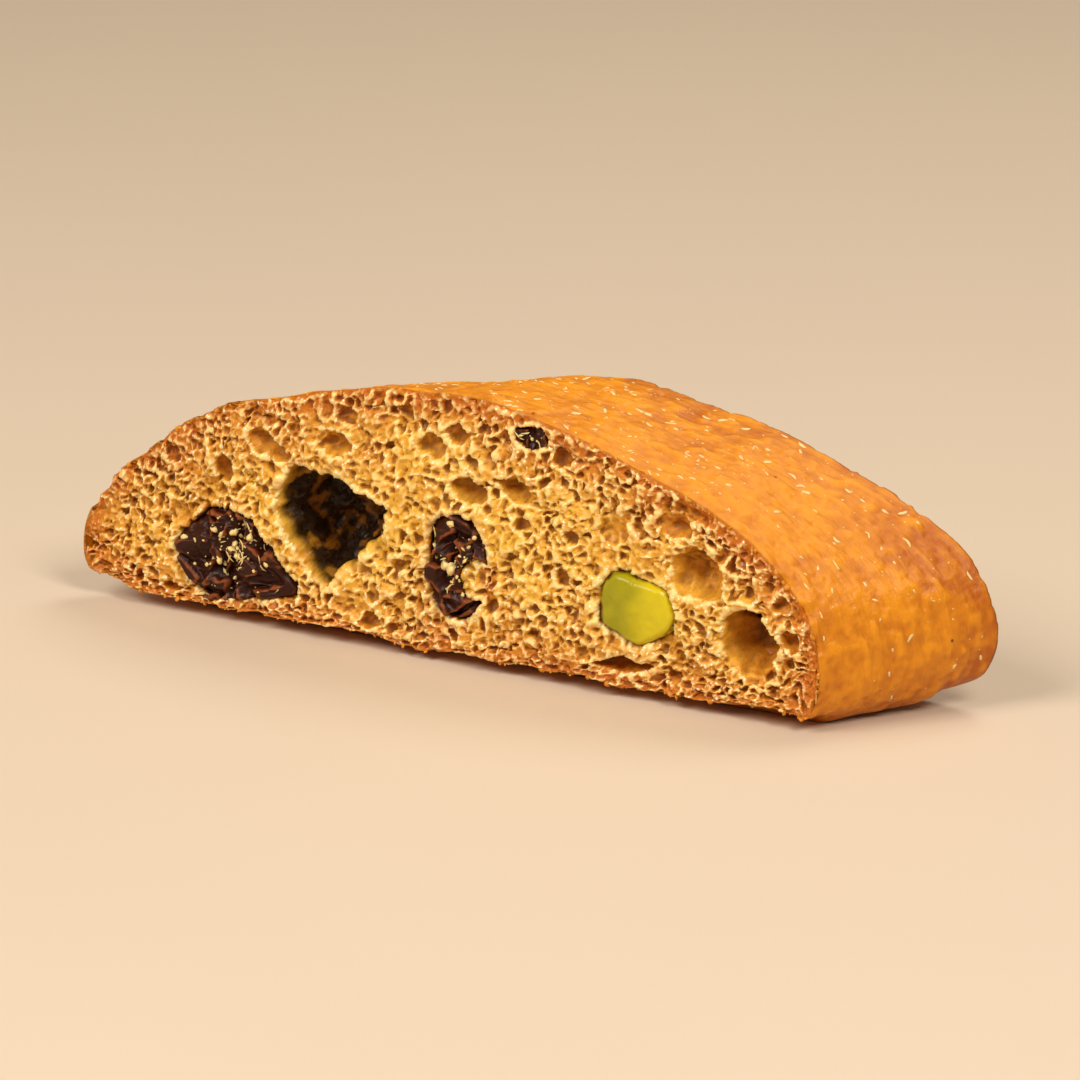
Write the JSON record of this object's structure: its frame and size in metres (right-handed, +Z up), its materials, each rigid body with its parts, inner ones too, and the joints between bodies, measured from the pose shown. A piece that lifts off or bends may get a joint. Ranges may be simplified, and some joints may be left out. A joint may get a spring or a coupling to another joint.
{
  "type": "biscotti slice",
  "caption": "Half-moon slice of twice-baked biscuit with cut pistachios and dark chocolate pieces, standing on its flat base.",
  "frame": {"origin": "middle of the slice's box, on the plane of its flat base", "axes": "+X along the cut face, towards the end whose crust the picture shows; -Y out of the cut face with the large air pocket; +Z up"},
  "size_m": [0.0988, 0.016, 0.0296],
  "materials": {
    "baked_dough": "dry open crumb with a browned, slightly satin crust",
    "dark_chocolate": "broken dark chocolate, satin",
    "pistachio_kernel": "cut nut, smooth and slightly waxy"
  },
  "bodies": {
    "root": {"biscuit": "baked_dough", "chocolate_left": "dark_chocolate", "chocolate_middle": "dark_chocolate", "chocolate_crown": "dark_chocolate", "chocolate_back": "dark_chocolate", "chocolate_back_small": "dark_chocolate", "pistachio_front": "pistachio_kernel", "pistachio_back_left": "pistachio_kernel", "pistachio_back_right": "pistachio_kernel"}
  },
  "joints": []
}
